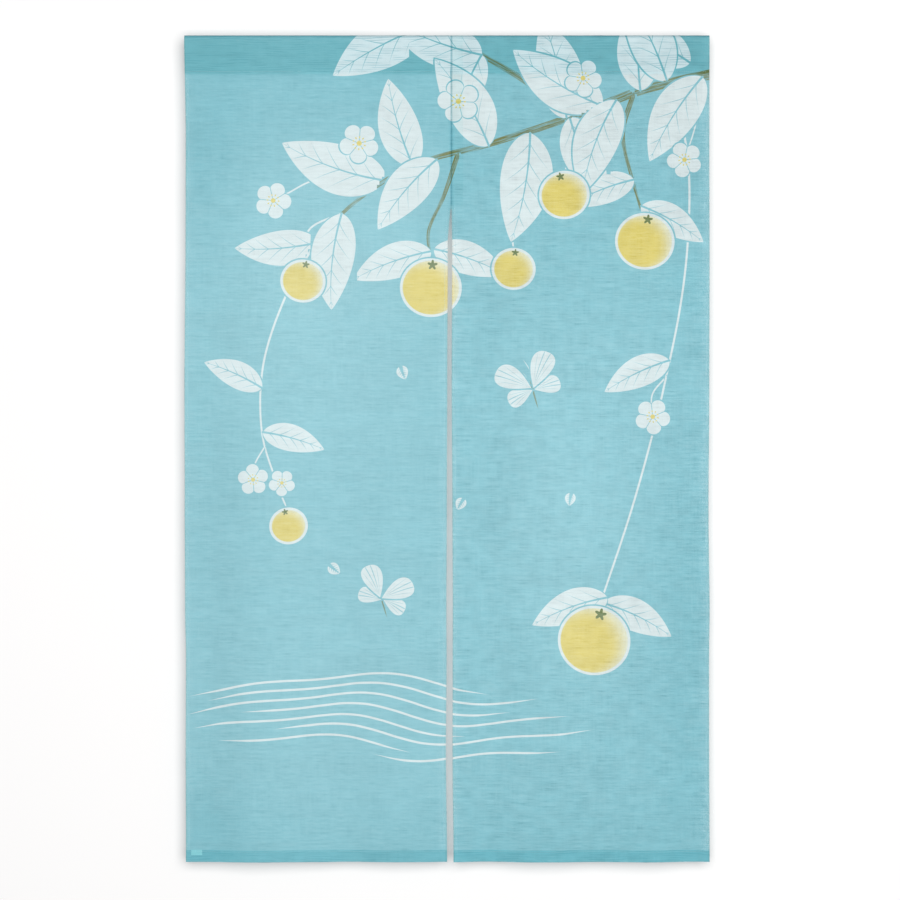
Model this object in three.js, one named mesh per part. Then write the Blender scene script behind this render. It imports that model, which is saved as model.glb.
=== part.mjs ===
// Noren curtain: two cloth panels sewn side by side for the top fifth of their drop, with a slit
// between them below, a rod pocket turned over along the top and a hem turned up along the foot.
// Millimetres, +Z up. The cloth's face looks along -Y. The origin is the middle of the top fold's crest.
import * as THREE from "three";

const { lerp, smoothstep } = THREE.MathUtils;

// The cloth.
const curtainDrop = 1500;
const clothThickness = 1;
const layerGap = 0.3; // between two layers of cloth that lie on each other
const layerStep = clothThickness + layerGap; // from the middle of one layer to the middle of the next

// The rod pocket: the top of each panel turned over to the back, open as wide as a slim rod holds it.
const pocketDrop = 66; // top fold to the stitch line
const pocketTurn = 4; // free edge of the turned cloth below the stitch line
const pocketDepth = 14; // front to back, outside
const sheetPlane = -3; // where the hanging cloth lies, front to back
const topFoldRadius = (pocketDepth - clothThickness) / 2; // of the layer's middle over the top fold

// Hems, seam and label.
const hemDrop = 20; // cloth turned up at the foot
const hemFoldRadius = layerStep / 2; // of the layer's middle round the foot
const sideHemWidth = 8; // narrow hem down each side edge
const seamAllowance = 15; // cloth turned back beside the seam
const sideHemExtra = 0.6; // how much thicker a side edge is than the plain cloth
const hemStep = 1; // width in which that thickness falls off
const seamDrop = 309; // top fold to the end of the seam, where the slit starts
const labelSize = { across: -455, down: 1478, width: 20, drop: 10 };

// How finely the cloth is divided.
const topFoldSteps = 6;
const pocketSteps = 5;
const sheetStep = 125; // the most between two levels of the hanging cloth
const hemFoldSteps = 4;
const acrossSteps = 13;

// Where the side edges run, by the distance down from the top fold: the curtain's two outer edges
// and the two edges that meet at the seam and part at the slit.
const edgeRows = [
  { down: 0, outerLeft: -477, slitLeft: 7, slitRight: 7.3, outerRight: 475.1 },
  { down: 190, outerLeft: -474.5, slitLeft: 7, slitRight: 7.3, outerRight: 474.9 },
  { down: seamDrop, outerLeft: -474.6, slitLeft: 7, slitRight: 7.3, outerRight: 475.2 },
  { down: 372, outerLeft: -475, slitLeft: 0.6, slitRight: 8.7, outerRight: 475.5 },
  { down: 640, outerLeft: -477, slitLeft: -0.4, slitRight: 7.9, outerRight: 475.2 },
  { down: 850, outerLeft: -476.6, slitLeft: -1.3, slitRight: 9.2, outerRight: 473.8 },
  { down: 1050, outerLeft: -475.8, slitLeft: -2, slitRight: 10, outerRight: 475.6 },
  { down: 1128, outerLeft: -474.2, slitLeft: -1.6, slitRight: 9.7, outerRight: 474.7 },
  { down: 1300, outerLeft: -474.8, slitLeft: -2.8, slitRight: 9.4, outerRight: 474.9 },
  { down: curtainDrop, outerLeft: -474.2, slitLeft: -0.8, slitRight: 11.2, outerRight: 475.6 },
];

// Soft hanging folds: where each one lies across the curtain, its half width, how far it stands
// back (or forward, when negative), the level where it starts and how far it drifts sideways for
// each millimetre down. A fold reaches its full depth foldGrowth below its start.
const foldGrowth = 620;
const folds = [
  { across: -448, halfWidth: 48, depth: 5, from: 160, drift: 0.012 },
  { across: -335, halfWidth: 72, depth: -6, from: 110, drift: -0.02 },
  { across: -205, halfWidth: 64, depth: 5, from: 240, drift: 0.03 },
  { across: -98, halfWidth: 52, depth: -4, from: 90, drift: -0.015 },
  { across: 48, halfWidth: 46, depth: 6, from: 140, drift: 0.02 },
  { across: 168, halfWidth: 70, depth: -6, from: 100, drift: 0.015 },
  { across: 292, halfWidth: 58, depth: 4, from: 260, drift: -0.03 },
  { across: 372, halfWidth: 50, depth: -5, from: 180, drift: 0.01 },
  { across: 455, halfWidth: 44, depth: 6, from: 120, drift: -0.012 },
];

// Creases across the curtain where it lay folded: the level, half width and depth of each.
const creases = [
  { down: 513, halfWidth: 34, depth: -1.4 },
  { down: 905, halfWidth: 30, depth: 1.5 },
  { down: 1128, halfWidth: 28, depth: -1.2 },
  { down: 1350, halfWidth: 34, depth: 1.6 },
];

// The panels: the two edges of each, which of them lies along the slit, the hem's width there on
// the left and on the right, and how far the slit edge curls back below the seam.
const panels = [
  { name: "left_panel", left: "outerLeft", right: "slitLeft", slit: "slitLeft",
    leftHem: sideHemWidth, rightHem: sideHemWidth, curl: 3.5 },
  { name: "right_panel", left: "slitRight", right: "outerRight", slit: "slitRight",
    leftHem: seamAllowance, rightHem: sideHemWidth, curl: -2.5 },
];
const curlWidth = 28;
const curlGrowth = 420;

const clothFinish = () => new THREE.MeshStandardMaterial({ color: 0x8fc7d2, roughness: 0.85, metalness: 0 });
const labelFinish = () => new THREE.MeshStandardMaterial({ color: 0xe6ecec, roughness: 0.7, metalness: 0 });

// One column of edgeRows at a level, eased from row to row.
function edgeAt(column, down) {
  const next = Math.max(1, edgeRows.findIndex((row) => row.down >= down));
  const above = edgeRows[next - 1];
  const below = edgeRows[next];
  return lerp(above[column], below[column], smoothstep(down, above.down, below.down));
}

// How far back the middle of the hanging layer lies at a place on a panel: the plane of the sheet,
// plus each fold as a bell across the cloth that deepens on the way down, plus each crease as a low
// tent along its level, plus the curl of the slit edge.
function depthAt(panel, across, down) {
  let depth = sheetPlane;
  for (const fold of folds) {
    const fromMiddle = (across - fold.across - fold.drift * down) / fold.halfWidth;
    depth += fold.depth * Math.exp(-(fromMiddle ** 2)) * smoothstep(down, fold.from, fold.from + foldGrowth);
  }
  for (const crease of creases) {
    depth += crease.depth * Math.max(0, 1 - Math.abs(down - crease.down) / crease.halfWidth);
  }
  const fromSlit = (across - edgeAt(panel.slit, down)) / curlWidth;
  return depth + panel.curl * Math.exp(-(fromSlit ** 2)) * smoothstep(down, seamDrop, seamDrop + curlGrowth);
}

// The levels of the hanging cloth, from just under the pocket to where the foot starts to turn: one
// at each row of edgeRows, three at each crease, and more between where they are far apart.
function sheetLevels() {
  const top = pocketDrop + pocketTurn;
  const foot = curtainDrop - hemFoldRadius - clothThickness / 2;
  const hemTop = foot - hemDrop;
  const rows = edgeRows.map(({ down }) => down).filter((down) => down > top && down < hemTop);
  const creased = creases.flatMap(({ down, halfWidth }) => [down - halfWidth, down, down + halfWidth]);
  const stops = [...new Set([top, ...rows, ...creased, hemTop, foot])].sort((a, b) => a - b);
  return stops.flatMap((stop, at) => {
    const gap = (stops[at + 1] ?? stop) - stop;
    const count = Math.max(1, Math.ceil(gap / sheetStep));
    return Array.from({ length: count }, (_, step) => stop + (gap * step) / count);
  });
}

// One upright section through a panel, along a line whose distance across is acrossAt(down): the
// points of the cloth's middle layer from the free edge at the pocket's back, over the top fold,
// down the face and round the foot to the hem's free edge. extra thickens the reverse between the
// pocket and the hem, where the cloth is single.
function panelSection(panel, acrossAt, extra) {
  const section = [];
  const add = (down, y, thicker = 0) => section.push({ x: acrossAt(down), y, z: -down, extra: thicker });
  const pocketWall = (share, foldY, stitchY) => {
    const down = lerp(pocketDepth / 2, pocketDrop, share);
    add(down, lerp(foldY, stitchY, smoothstep(share, 0, 1)));
  };
  add(pocketDrop + pocketTurn, sheetPlane + layerStep);
  for (let step = pocketSteps; step > 0; step -= 1) {
    pocketWall(step / pocketSteps, topFoldRadius, sheetPlane + layerStep);
  }
  for (let step = 0; step <= topFoldSteps; step += 1) {
    const turn = (Math.PI * step) / topFoldSteps;
    add(pocketDepth / 2 - topFoldRadius * Math.sin(turn), topFoldRadius * Math.cos(turn));
  }
  for (let step = 1; step <= pocketSteps; step += 1) {
    pocketWall(step / pocketSteps, -topFoldRadius, sheetPlane);
  }
  const levels = sheetLevels();
  const foot = levels.at(-1);
  const hemTop = levels.at(-2);
  for (const down of levels) {
    const single = down > pocketDrop + pocketTurn && down < hemTop;
    add(down, depthAt(panel, acrossAt(down), down), single ? extra : 0);
  }
  const footY = depthAt(panel, acrossAt(foot), foot);
  for (let step = 1; step < hemFoldSteps; step += 1) {
    const turn = (Math.PI * step) / hemFoldSteps;
    add(foot + hemFoldRadius * Math.sin(turn), footY + hemFoldRadius * (1 - Math.cos(turn)));
  }
  for (const down of [foot, hemTop]) {
    add(down, depthAt(panel, acrossAt(down), down) + layerStep);
  }
  return section;
}

// The sections of a panel from its left edge to its right: three across each side hem, where the
// extra thickness starts and ends, and even steps between the hems.
function panelSections(panel) {
  const section = (share, inset, extra) => {
    const acrossAt = (down) => lerp(edgeAt(panel.left, down), edgeAt(panel.right, down), share) + inset;
    return panelSection(panel, acrossAt, extra);
  };
  const sections = [
    section(0, 0, sideHemExtra),
    section(0, panel.leftHem, sideHemExtra),
  ];
  for (let step = 0; step <= acrossSteps; step += 1) {
    const share = step / acrossSteps;
    sections.push(section(share, lerp(panel.leftHem + hemStep, -panel.rightHem - hemStep, share), 0));
  }
  sections.push(section(1, -panel.rightHem, sideHemExtra), section(1, 0, sideHemExtra));
  return sections;
}

// The direction across a section at one of its points, on the side of the cloth's face.
function faceNormal(section, at) {
  const before = section[Math.max(0, at - 1)];
  const after = section[Math.min(section.length - 1, at + 1)];
  return new THREE.Vector2(after.z - before.z, before.y - after.y).normalize();
}

// A closed sheet of cloth through its sections, which have the same number of points. Each point
// becomes one corner on the face and one on the reverse, half the cloth's thickness to either side.
function closedSheet(sections) {
  const points = sections[0].length;
  const positions = [];
  for (const section of sections) {
    section.forEach((point, at) => {
      const normal = faceNormal(section, at);
      for (const offset of [clothThickness / 2, -clothThickness / 2 - point.extra]) {
        positions.push(point.x, point.y + normal.x * offset, point.z + normal.y * offset);
      }
    });
  }
  const index = [];
  const quad = (a, b, c, d) => index.push(a, b, c, a, c, d);
  const face = (station, at) => (station * points + at) * 2;
  const reverse = (station, at) => face(station, at) + 1;
  const end = points - 1;
  const last = sections.length - 1;
  for (let here = 0; here < last; here += 1) {
    const next = here + 1;
    for (let at = 0; at < end; at += 1) {
      quad(face(here, at), face(here, at + 1), face(next, at + 1), face(next, at));
      quad(reverse(here, at), reverse(next, at), reverse(next, at + 1), reverse(here, at + 1));
    }
    quad(face(here, 0), face(next, 0), reverse(next, 0), reverse(here, 0));
    quad(face(here, end), reverse(here, end), reverse(next, end), face(next, end));
  }
  for (let at = 0; at < end; at += 1) {
    quad(face(0, at), reverse(0, at), reverse(0, at + 1), face(0, at + 1));
    quad(face(last, at), face(last, at + 1), reverse(last, at + 1), reverse(last, at));
  }
  const geometry = new THREE.BufferGeometry();
  geometry.setAttribute("position", new THREE.Float32BufferAttribute(positions, 3));
  geometry.setIndex(index);
  geometry.computeVertexNormals();
  return geometry;
}

// The small blank label at the reverse of the left panel, over the top edge of the foot's hem.
function labelSections() {
  const [panel] = panels;
  const behindHem = 2 * layerStep;
  return [-0.5, 0, 0.5].map((side) => {
    const x = labelSize.across + side * labelSize.width;
    return [0, 0.5, 1].map((share) => {
      const down = labelSize.down + share * labelSize.drop;
      return { x, y: depthAt(panel, x, down) + behindHem, z: -down, extra: 0 };
    });
  });
}

function piece(name, sections, finish) {
  const mesh = new THREE.Mesh(closedSheet(sections), finish());
  mesh.name = name;
  return mesh;
}

const noren = new THREE.Group();
for (const panel of panels) {
  noren.add(piece(panel.name, panelSections(panel), clothFinish));
}
noren.add(piece("hem_label", labelSections(), labelFinish));

export default noren;
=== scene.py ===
import math

import bpy
import numpy as np
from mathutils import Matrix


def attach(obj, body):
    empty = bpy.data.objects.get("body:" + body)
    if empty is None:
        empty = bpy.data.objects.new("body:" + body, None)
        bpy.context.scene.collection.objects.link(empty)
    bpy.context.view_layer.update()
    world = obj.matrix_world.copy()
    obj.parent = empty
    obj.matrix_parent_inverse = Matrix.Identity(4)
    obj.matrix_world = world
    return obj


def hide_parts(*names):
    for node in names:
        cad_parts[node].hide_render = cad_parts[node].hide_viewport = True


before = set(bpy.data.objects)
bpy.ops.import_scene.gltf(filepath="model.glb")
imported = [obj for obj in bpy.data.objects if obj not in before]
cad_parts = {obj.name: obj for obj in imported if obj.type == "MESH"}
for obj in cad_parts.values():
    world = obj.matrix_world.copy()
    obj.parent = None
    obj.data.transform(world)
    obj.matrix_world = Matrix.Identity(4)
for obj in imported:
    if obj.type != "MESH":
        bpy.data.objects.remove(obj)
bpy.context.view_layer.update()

# Noren curtain: two printed cloth panels with a rod pocket, sewn together over the top and split
# below. Metres, +Z up, the cloth's face looks along -Y and the top fold's crest is at the origin.
print("frame loaded:", sorted(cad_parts))


# A value in a node tree, which takes + - * / ** and abs like a number.
class Field:
    def __init__(self, socket):
        self.socket, self.tree = socket, socket.id_data

    def __abs__(self):
        return calc("ABSOLUTE", self)


def addNode(tree, kind, settings=None, inputs=None):
    node = tree.nodes.new(kind)
    for key, value in (settings or {}).items():
        setattr(node, key, value)
    for key, value in (inputs or {}).items():
        feed(node.inputs[key], value)
    return node


def feed(socket, value):
    if isinstance(value, Field):
        socket.id_data.links.new(value.socket, socket)
    else:
        socket.default_value = value


def treeOf(*values):
    return next(value.tree for value in values if isinstance(value, Field))


def calc(operation, *values, clamp=False):
    node = addNode(treeOf(*values), "ShaderNodeMath", {"operation": operation, "use_clamp": clamp},
                   dict(enumerate(values)))
    return Field(node.outputs[0])


for sign, operation in (("add", "ADD"), ("sub", "SUBTRACT"), ("mul", "MULTIPLY"), ("truediv", "DIVIDE"),
                        ("pow", "POWER")):
    setattr(Field, f"__{sign}__", lambda one, other, operation=operation: calc(operation, one, other))
    setattr(Field, f"__r{sign}__", lambda one, other, operation=operation: calc(operation, other, one))


def sine(value):
    return calc("SINE", value)


def cosine(value):
    return calc("COSINE", value)


def root(value):
    return calc("SQRT", value)


def larger(one, other):
    return calc("MAXIMUM", one, other)


def smaller(one, other):
    return calc("MINIMUM", one, other)


# 0 below low, 1 above high, eased between.
def rise(value, low, high):
    node = addNode(value.tree, "ShaderNodeMapRange", {"interpolation_type": "SMOOTHSTEP"},
                   {"Value": value, "From Min": low, "From Max": high})
    return Field(node.outputs["Result"])


def fall(value, low, high):
    return 1.0 - rise(value, low, high)


# Straight from (low, start) to (high, end), held outside.
def between(value, low, high, start, end):
    node = addNode(value.tree, "ShaderNodeMapRange", {},
                   {"Value": value, "From Min": low, "From Max": high, "To Min": start, "To Max": end})
    return Field(node.outputs["Result"])


# A noise, which keeps near 0.5, as a value from -reach to reach.
def swing(noise, reach, spread=0.25):
    return between(noise, 0.5 - spread, 0.5 + spread, -reach, reach)


def mixValues(factor, one, other):
    node = addNode(treeOf(factor, one, other), "ShaderNodeMix", {"data_type": "FLOAT"},
                   {0: factor, 2: one, 3: other})
    return Field(node.outputs[0])


def blendColour(factor, under, over, mode="MIX"):
    node = addNode(treeOf(factor, under, over), "ShaderNodeMix", {"data_type": "RGBA", "blend_type": mode},
                   {0: factor, 6: under, 7: over})
    return Field(node.outputs[2])


def parts(vector):
    node = addNode(vector.tree, "ShaderNodeSeparateXYZ", {}, {"Vector": vector})
    return [Field(out) for out in node.outputs]


# Noise stretched by its own scale on each axis of the flat cloth.
def streaks(place, across, down, detail=1.0):
    stretched = addNode(place.tree, "ShaderNodeMapping", {},
                        {"Vector": place, "Scale": (across, down, 1.0)})
    node = addNode(place.tree, "ShaderNodeTexNoise", {"noise_dimensions": "2D"},
                   {"Vector": Field(stretched.outputs[0]), "Scale": 1.0, "Detail": detail})
    return Field(node.outputs[0])


# A group with named vectors in; closeGroup gives it its named values out.
def newGroup(name, *inputs):
    tree = bpy.data.node_groups.new(name, "ShaderNodeTree")
    for socket in inputs:
        tree.interface.new_socket(socket, in_out="INPUT", socket_type="NodeSocketVector")
    entry = tree.nodes.new("NodeGroupInput")
    return [tree] + [Field(entry.outputs[socket]) for socket in inputs]


def closeGroup(tree, results):
    for name in results:
        tree.interface.new_socket(name, in_out="OUTPUT", socket_type="NodeSocketFloat")
    leave = tree.nodes.new("NodeGroupOutput")
    for name, value in results.items():
        feed(leave.inputs[name], value)
    return tree


def useGroup(tree, group, inputs):
    node = addNode(tree, "ShaderNodeGroup", {"node_tree": group}, inputs)
    return {out.name: Field(out) for out in node.outputs}


# A Principled material, with its node tree and its surface.
def newMaterial(name, colour, roughness, shine):
    material = bpy.data.materials.new(name)
    material.use_nodes = True
    surface = material.node_tree.nodes["Principled BSDF"]
    for socket, value in (("Base Color", colour), ("Roughness", roughness), ("Specular IOR Level", shine)):
        surface.inputs[socket].default_value = value
    return material, material.node_tree, surface


# Puts out the surface where shown is 1 and nothing where it is 0.
def showSurface(tree, surface, shown):
    clear = Field(addNode(tree, "ShaderNodeBsdfTransparent").outputs[0])
    either = addNode(tree, "ShaderNodeMixShader", {}, {0: shown, 1: clear, 2: Field(surface.outputs[0])})
    feed(tree.nodes["Material Output"].inputs["Surface"], Field(either.outputs[0]))


# The room: camera, light, wall and floor.
room = {
    "lens": 100.0,
    "frameHeight": 1.6324,  # height of the picture at the cloth
    "lookAt": (0.0047, -0.003, -0.7524),
    "wallBehind": 0.028,  # from the cloth's plane to the wall
    "wallHalfWidth": 7.0,
    "wallTop": 4.0,
    "floorLevel": -1.95,
    "floorFront": -5.0,
    "wallColour": (0.91, 0.902, 0.899, 1.0),
    "wallGlow": 0.026,
    "floorColour": (0.8, 0.8, 0.795, 1.0),
    "floorGlow": 0.38,
    "skyColour": (1.0, 1.0, 1.0, 1.0),
    "skyLight": 0.23,
}

# name, place, point it looks at, width, height, watts
lamps = [
    ("frontSoftbox", (0.62, -5.2, -0.22), (0.0, 0.0, -0.75), 6.0, 6.0, 358.0),
    ("backSoftbox", (0.6, 3.2, 0.2), (0.0, 0.0, -0.8), 2.4, 2.4, 26.0),
]


def makeCamera():
    data = bpy.data.cameras.new("camera")
    data.lens = room["lens"]
    data.sensor_width = 36.0
    data.clip_start, data.clip_end = 0.05, 60.0
    distance = room["frameHeight"] * room["lens"] / data.sensor_width
    x, y, z = room["lookAt"]
    camera = bpy.data.objects.new("camera", data)
    camera.location = (x, y - distance, z)
    camera.rotation_euler = (math.pi / 2, 0.0, 0.0)
    bpy.context.scene.collection.objects.link(camera)
    bpy.context.scene.camera = camera


def makeLamps():
    for name, place, target, width, height, watts in lamps:
        data = bpy.data.lights.new(name, "AREA")
        data.shape = "RECTANGLE"
        data.size, data.size_y, data.energy = width, height, watts
        lamp = bpy.data.objects.new(name, data)
        lamp.visible_camera = False
        lamp.location = place
        aim = [t - p for t, p in zip(target, place)]
        flat = math.hypot(aim[0], aim[1])
        lamp.rotation_euler = (math.atan2(flat, -aim[2]), 0.0, math.atan2(-aim[0], aim[1]))
        bpy.context.scene.collection.objects.link(lamp)


# The world: white where the camera sees it, a softer even light everywhere else.
def makeWorld():
    world = bpy.data.worlds.new("studio")
    world.use_nodes = True
    background = world.node_tree.nodes["Background"]
    background.inputs["Color"].default_value = room["skyColour"]
    seen = Field(addNode(world.node_tree, "ShaderNodeLightPath").outputs["Is Camera Ray"])
    feed(background.inputs["Strength"], between(seen, 0.0, 1.0, room["skyLight"], 1.0))
    bpy.context.scene.world = world


# A plain matt surface that is seen from its front only and stands in no lamp's way.
def stageMaterial(name, colour, glow):
    material, tree, surface = newMaterial(name, colour, 1.0, 0.0)
    surface.inputs["Emission Color"].default_value = (1.0, 1.0, 1.0, 1.0)
    surface.inputs["Emission Strength"].default_value = glow
    seen = Field(addNode(tree, "ShaderNodeLightPath").outputs["Is Camera Ray"])
    behind = Field(addNode(tree, "ShaderNodeNewGeometry").outputs["Backfacing"])
    showSurface(tree, surface, calc("SUBTRACT", seen, behind, clamp=True))
    return material


# A rectangle from its first corner to its last, level or upright.
def stagePlane(name, first, last, colour, glow):
    (x0, y0, z0), (x1, y1, z1) = first, last
    mesh = bpy.data.meshes.new(name)
    mesh.from_pydata([(x0, y0, z0), (x1, y0, z0), (x1, y1, z1), (x0, y1, z1)], [], [(0, 1, 2, 3)])
    mesh.materials.append(stageMaterial(name, colour, glow))
    plane = bpy.data.objects.new(name, mesh)
    bpy.context.scene.collection.objects.link(plane)


def makeStage():
    half, floor = room["wallHalfWidth"], room["floorLevel"]
    stagePlane("wall", (-half, room["wallBehind"], floor), (half, room["wallBehind"], room["wallTop"]),
               room["wallColour"], room["wallGlow"])
    stagePlane("floor", (-half, room["floorFront"], floor), (half, half, floor),
               room["floorColour"], room["floorGlow"])


makeCamera()
makeLamps()
makeWorld()
makeStage()
bpy.context.scene.view_settings.view_transform = "Standard"
print("room ready")


cloth = {
    "drop": 1.5,
    "thickness": 0.0006,
    "layerStep": 0.00078,  # from the middle of one layer to the next where it is doubled
    "pocketDrop": 0.066,  # top fold to the stitch line
    "pocketTurn": 0.004,  # free edge below the stitch line
    "pocketDepth": 0.014,
    "sheetPlane": -0.003,
    "hemDrop": 0.02,
    "sideHem": 0.007,
    "sideHemExtra": 0.0006,
    "seamDrop": 0.309,
    "seamAllowance": 0.006,  # how far it shows beyond the seam
    "seamRollDepth": 0.001,  # how far both edges turn back at the seam
    "seamRollWidth": 0.0015,
    "seamRollEnd": 0.03,  # how far below the seam it has gone
    "ripplesFrom": (0.06, 0.16),  # where the small ripples start and are full
    "sideHemRows": (0.071, 0.074, 1.474, 1.4778),  # where the side hems start and end, eased
    # the seam's turned cloth: its thickness, place behind the sheet, gap to the pocket and stitch line
    "stripThickness": 0.0005,
    "stripBehind": 0.0013,
    "stripInPocket": 0.014,
    "stripBelow": 0.0075,
    "stripPastSeam": 0.01,
    "stripEdge": 0.05,  # far from an edge, so it gets no selvedge
    # lines of points along and across a panel
    "pocketRows": 22,
    "foldRows": 17,
    "sheetRows": 292,
    "footRows": 9,
    "hemRows": 7,
    "columns": 104,
}

# Where the side edges run by the distance down: outer edges and the two edges of the seam and slit.
edges = {
    "down": [0.0, 0.19, 0.309, 0.372, 0.64, 0.85, 1.05, 1.128, 1.3, 1.5],
    "outerLeft": [-0.477, -0.4745, -0.4746, -0.475, -0.477, -0.4766, -0.4758, -0.4742, -0.4748, -0.4742],
    "slitLeft": [0.007, 0.007, 0.007, 0.0006, -0.0004, -0.0013, -0.002, -0.0016, -0.0028, -0.0008],
    "slitRight": [0.0073, 0.0073, 0.0073, 0.0087, 0.0079, 0.0092, 0.01, 0.0097, 0.0094, 0.0112],
    "outerRight": [0.4751, 0.4749, 0.4752, 0.4755, 0.4752, 0.4738, 0.4756, 0.4747, 0.4749, 0.4756],
}

# Soft hanging folds: place across, half width, depth back, level where it starts, drift per metre down.
foldGrowth = 0.62
folds = [
    (-0.448, 0.048, 0.005, 0.16, 0.012),
    (-0.335, 0.072, -0.006, 0.11, -0.02),
    (-0.205, 0.064, 0.005, 0.24, 0.03),
    (-0.098, 0.052, -0.004, 0.09, -0.015),
    (0.048, 0.046, 0.006, 0.14, 0.02),
    (0.168, 0.07, -0.006, 0.1, 0.015),
    (0.292, 0.058, 0.004, 0.26, -0.03),
    (0.372, 0.05, -0.005, 0.18, 0.01),
    (0.455, 0.044, 0.006, 0.12, -0.012),
]

# Creases across the curtain where it lay folded: level, half width, depth.
creases = [(0.513, 0.034, -0.0014), (0.905, 0.03, 0.0015), (1.128, 0.028, -0.0012), (1.35, 0.034, 0.0016)]

# Small unevenness of the cloth: waves per metre across and down, phase and height.
ripples = [(9.0, 3.1, 0.4, 0.00035), (-5.3, 6.7, 2.1, 0.0004), (14.0, -4.6, 4.0, 0.00022),
           (3.7, 17.0, 1.3, 0.00018), (23.0, 8.0, 5.2, 0.00012), (-17.0, 21.0, 3.3, 0.0001)]

# Puckers along a row of stitches: waves per metre, height and how far they reach, and how much and
# how often they crowd together and part.
pucker = {"waves": 78.0, "height": 0.00022, "reach": 0.007, "crowd": 2.0, "crowdTurn": 31.0}

# The pocket's walls: height of their waves and how fast these turn across and down.
pocketWave = {"height": 0.0005, "across": 31.0, "down": 40.0, "swell": 12.0, "seamLevel": 0.08}

# Where the dye took paler or darker, and where sheen and shade are painted on: place, half width across and
# down, amount.
dyeSheenShadeSpots = [
    (-0.24, 0.5, 0.2, 0.4, 0.35), (-0.24, 1.18, 0.18, 0.26, 0.18), (-0.26, 0.04, 0.33, 0.18, -0.34),
    (-0.45, 0.16, 0.07, 0.2, -0.35), (-0.45, 1.44, 0.09, 0.08, -0.35),
    (0.33, 0.04, 0.32, 0.18, -0.44), (0.23, 0.22, 0.33, 0.22, -0.22), (0.455, 0.23, 0.08, 0.22, -0.4),
    (0.22, 0.85, 0.15, 0.34, 0.34), (0.44, 1.1, 0.08, 0.35, -0.22), (0.24, 1.46, 0.3, 0.12, -0.05),
    (0.0, 1.48, 0.7, 0.07, -0.18), (0.47, 1.44, 0.06, 0.1, -0.32), (0.3, 1.04, 0.05, 0.05, -0.22),
]

# Each panel's last value is its level of dye paleness and painted sheen, before the spots are added.
panels = [
    {"name": "leftPanel", "node": "left_panel", "flat": (0.5, 1.61),
     "left": "outerLeft", "right": "slitLeft", "slit": "slitLeft", "curl": 0.0035, "dyeSheenShade": 0.35},
    {"name": "rightPanel", "node": "right_panel", "flat": (0.492, 1.61),
     "left": "slitRight", "right": "outerRight", "slit": "slitRight", "curl": -0.0025, "dyeSheenShade": 0.22},
]
curlWidth = 0.028
curlGrowth = 0.42


# Rises smoothly from 0 at low to 1 at high.
def ease(value, low, high):
    share = np.clip((value - low) / (high - low), 0.0, 1.0)
    return share * share * (3.0 - 2.0 * share)


# One edge's place across at each level: eased from row to row of the table, but share^0.7 where the
# slit opens below the seam.
def edgeAt(column, down):
    levels, places = np.array(edges["down"]), np.array(edges[column])
    row = np.clip(np.searchsorted(levels, down) - 1, 0, len(levels) - 2)
    share = np.clip((down - levels[row]) / (levels[row + 1] - levels[row]), 0.0, 1.0)
    share = np.where(levels[row] == cloth["seamDrop"], share ** 0.7, ease(share, 0.0, 1.0))
    return places[row] + (places[row + 1] - places[row]) * share


# Depth of the hanging layer: the sheet's plane, plus bells across for the folds that deepen on the
# way down, plus tents for the creases, plus the slit edge's curl, plus small sine ripples.
def depthAt(panel, across, down):
    depth = np.full(np.broadcast(across, down).shape, cloth["sheetPlane"])
    for place, halfWidth, deep, start, drift in folds:
        bell = np.exp(-((across - place - drift * down) / halfWidth) ** 2)
        depth = depth + deep * bell * ease(down, start, start + foldGrowth)
    for level, halfWidth, deep in creases:
        depth = depth + deep * np.clip(1.0 - np.abs(down - level) / halfWidth, 0.0, 1.0)
    fromSlit = (across - edgeAt(panel["slit"], down)) / curlWidth
    free = ease(down, cloth["seamDrop"], cloth["seamDrop"] + curlGrowth)
    depth = depth + panel["curl"] * np.exp(-fromSlit ** 2) * free
    settled = ease(down, *cloth["ripplesFrom"])
    for wavesAcross, wavesDown, phase, height in ripples:
        turn = 2.0 * math.pi * (wavesAcross * across + wavesDown * down) + phase
        depth = depth + height * np.sin(turn) * settled
    for stitched in (cloth["pocketDrop"], cloth["drop"] - cloth["hemDrop"]):
        near = np.exp(-np.abs(down - stitched) / pucker["reach"])
        crowd = pucker["crowd"] * np.sin(pucker["crowdTurn"] * across)
        turn = 2.0 * math.pi * pucker["waves"] * across + crowd
        depth = depth + pucker["height"] * np.sin(turn) * near
    # both edges of the seam roll back into it
    roll = np.exp(-((across - edgeAt(panel["slit"], down)) / cloth["seamRollWidth"]) ** 2)
    sewn = 1.0 - ease(down, cloth["seamDrop"], cloth["seamDrop"] + cloth["seamRollEnd"])
    return depth + cloth["seamRollDepth"] * roll * sewn


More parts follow.
